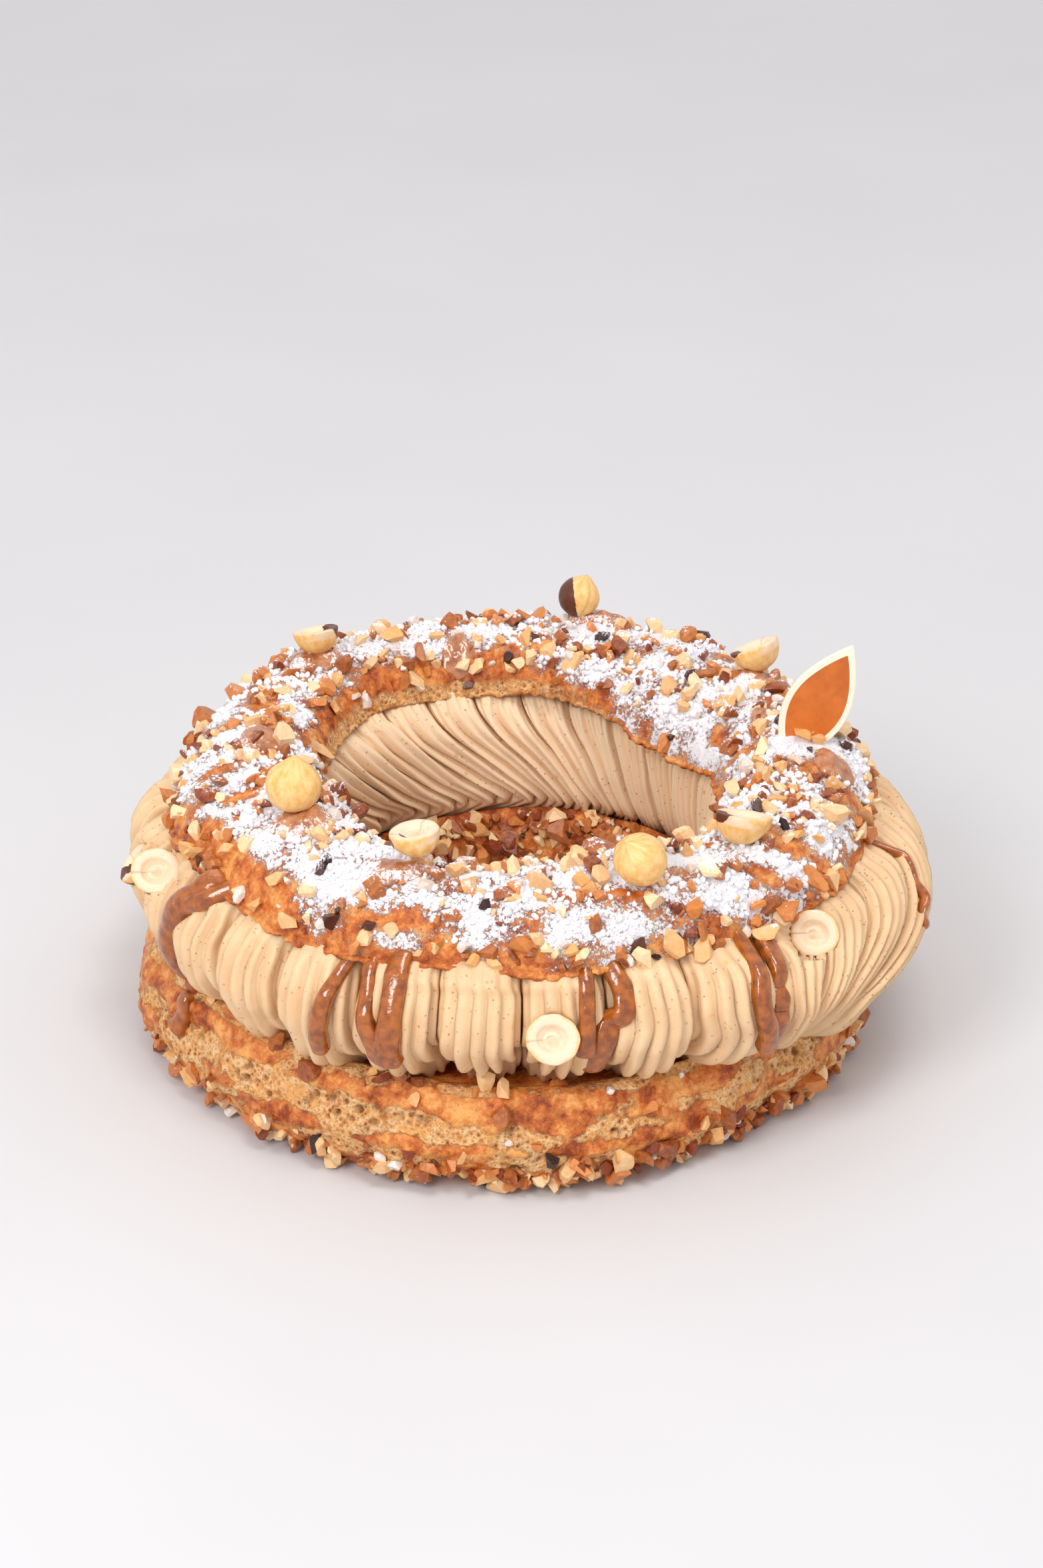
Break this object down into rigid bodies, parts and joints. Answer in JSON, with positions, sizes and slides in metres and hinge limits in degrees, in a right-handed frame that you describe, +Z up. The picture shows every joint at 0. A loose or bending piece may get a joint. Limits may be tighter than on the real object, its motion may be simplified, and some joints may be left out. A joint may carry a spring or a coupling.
{
  "type": "paris-brest pastry",
  "caption": "Round split ring of choux pastry filled with a thick piped ring of praline cream and topped with nuts, praline and a leaf-shaped plaque.",
  "frame": {"origin": "middle of the ring, on the surface that the pastry stands on", "axes": "+Z up through the hole, -Y towards the front with the nut pressed into the cream, +X towards the plaque"},
  "size_m": [0.2097, 0.2065, 0.1041],
  "materials": {
    "choux_crust": "baked crust, golden brown, dusted with icing sugar on the lid",
    "praline_cream": "satin piped praline cream with tiny nut specks",
    "hazelnut": "smooth blanched and lightly roasted nut",
    "praline_paste": "glossy runny nut paste",
    "plaque_chocolate": "satin chocolate with an ivory rim"
  },
  "bodies": {
    "root": {"choux_base": "choux_crust", "choux_lid": "choux_crust", "cream_ring": "praline_cream", "hazelnut_back": "hazelnut", "hazelnut_back_left": "hazelnut", "hazelnut_back_right": "hazelnut", "hazelnut_left": "hazelnut", "hazelnut_front_left": "hazelnut", "hazelnut_front": "hazelnut", "hazelnut_right": "hazelnut", "hazelnut_cream_right": "hazelnut", "hazelnut_cream_front": "hazelnut", "hazelnut_cream_left": "hazelnut", "hazelnut_cream_far_left": "hazelnut", "praline_under_back": "praline_paste", "praline_under_back_left": "praline_paste", "praline_under_back_right": "praline_paste", "praline_under_left": "praline_paste", "praline_under_front_left": "praline_paste", "praline_left": "praline_paste", "praline_right": "praline_paste", "praline_back": "praline_paste", "praline_by_leaf": "praline_paste", "leaf_plaque": "plaque_chocolate"}
  },
  "joints": []
}
